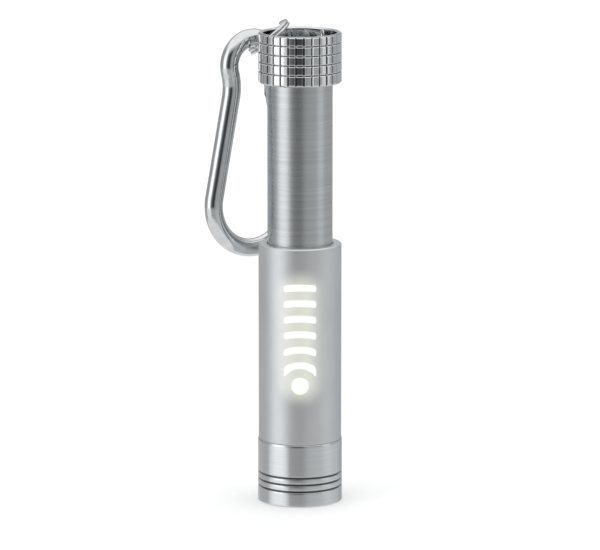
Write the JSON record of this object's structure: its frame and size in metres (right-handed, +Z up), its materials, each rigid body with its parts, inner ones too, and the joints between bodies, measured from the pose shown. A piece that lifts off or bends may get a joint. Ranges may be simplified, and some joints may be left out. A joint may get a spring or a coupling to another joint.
{
  "type": "keychain flashlight",
  "caption": "Pull-out key light: a sleeve with a lit mark, a sliding tube, a knurled screw cap, a split ring and a small sprung carabiner.",
  "frame": {"origin": "centre of the base bezel's lower face, where the light stands", "axes": "+Z up along the tube, -Y towards the lit mark, +X to the right; the carabiner hangs at -X"},
  "size_m": [0.0298, 0.0234, 0.1044],
  "materials": {
    "sleeve_paint": "satin silver lacquer on clear plastic",
    "lit": "laser-cut window, lit from behind",
    "turned_aluminium": "turned, fine lathe lines",
    "clear_plastic": "clear moulded lens",
    "rubber": "smooth nitrile",
    "bright_plastic": "vacuum-metallised",
    "brushed_tube": "brushed round the axis",
    "acetal": "smooth moulded",
    "led_resin": "clear epoxy dome",
    "board": "solder mask",
    "chip": "ceramic body",
    "gilt_contact": "plated",
    "film": "printed insulating film",
    "cell_steel": "nickel-plated can",
    "spring_steel": "drawn wire",
    "chrome_plate": "mirror chrome",
    "nickel_plate": "bright nickel plate"
  },
  "bodies": {
    "sleeve": {"base_bezel": "turned_aluminium", "front_lens": "clear_plastic", "lens_seal": "rubber", "reflector": "bright_plastic", "sleeve": "sleeve_paint", "lit_mark": "lit"},
    "inner_tube": {"inner_tube": "brushed_tube", "stop_collar": "acetal", "drag_ring": "rubber", "led_carrier": "acetal", "led": "led_resin", "circuit_board": "board", "resistor": "chip", "front_contact": "gilt_contact", "cell_film": "film", "cell_1": "cell_steel", "cell_2": "cell_steel", "cell_3": "cell_steel", "cell_4": "cell_steel"},
    "tail_contact": {"tail_contact": "gilt_contact", "tail_spring": "spring_steel"},
    "head_cap": {"head_cap": "chrome_plate", "cap_seal": "rubber"},
    "split_ring": {"split_ring": "nickel_plate"},
    "carabiner": {"carabiner_frame": "nickel_plate"},
    "gate": {"gate": "nickel_plate", "gate_rivet": "nickel_plate", "gate_plunger": "spring_steel", "gate_spring": "spring_steel"}
  },
  "joints": [
    {"name": "tube_slide", "type": "slide", "parent": "sleeve", "child": "inner_tube", "axis": [0, 0, 1], "range_m": [-0.0349, 0]},
    {"name": "cap_lift", "type": "slide", "parent": "inner_tube", "child": "tail_contact", "axis": [0, 0, 1], "range_m": [0, 0.003]},
    {"name": "cap_turn", "type": "hinge", "parent": "tail_contact", "child": "head_cap", "pos_m": [0, 0, 0.0977], "axis": [0, 0, 1], "range_deg": [0, 1440]},
    {"name": "ring_swing", "type": "hinge", "parent": "head_cap", "child": "split_ring", "pos_m": [-0.00799, 0.00291, 0.0995], "axis": [0.9397, -0.342, 0], "range_deg": [0, 25]},
    {"name": "carabiner_swing", "type": "hinge", "parent": "split_ring", "child": "carabiner", "pos_m": [-0.01036, 0.00684, 0.09467], "axis": [-0.5446, 0.8387, 0], "range_deg": [-60, 60]},
    {"name": "gate_open", "type": "hinge", "parent": "carabiner", "child": "gate", "pos_m": [-0.00581, 0.0098, 0.08774], "axis": [-0.5446, 0.8387, 0], "range_deg": [0, 25], "stiffness_Nm_per_rad": 0.01, "springref_deg": -20.05}
  ],
  "couplings": [
    {"joint": "cap_lift", "follows": "cap_turn", "m_per_rad": 0.00011937}
  ]
}
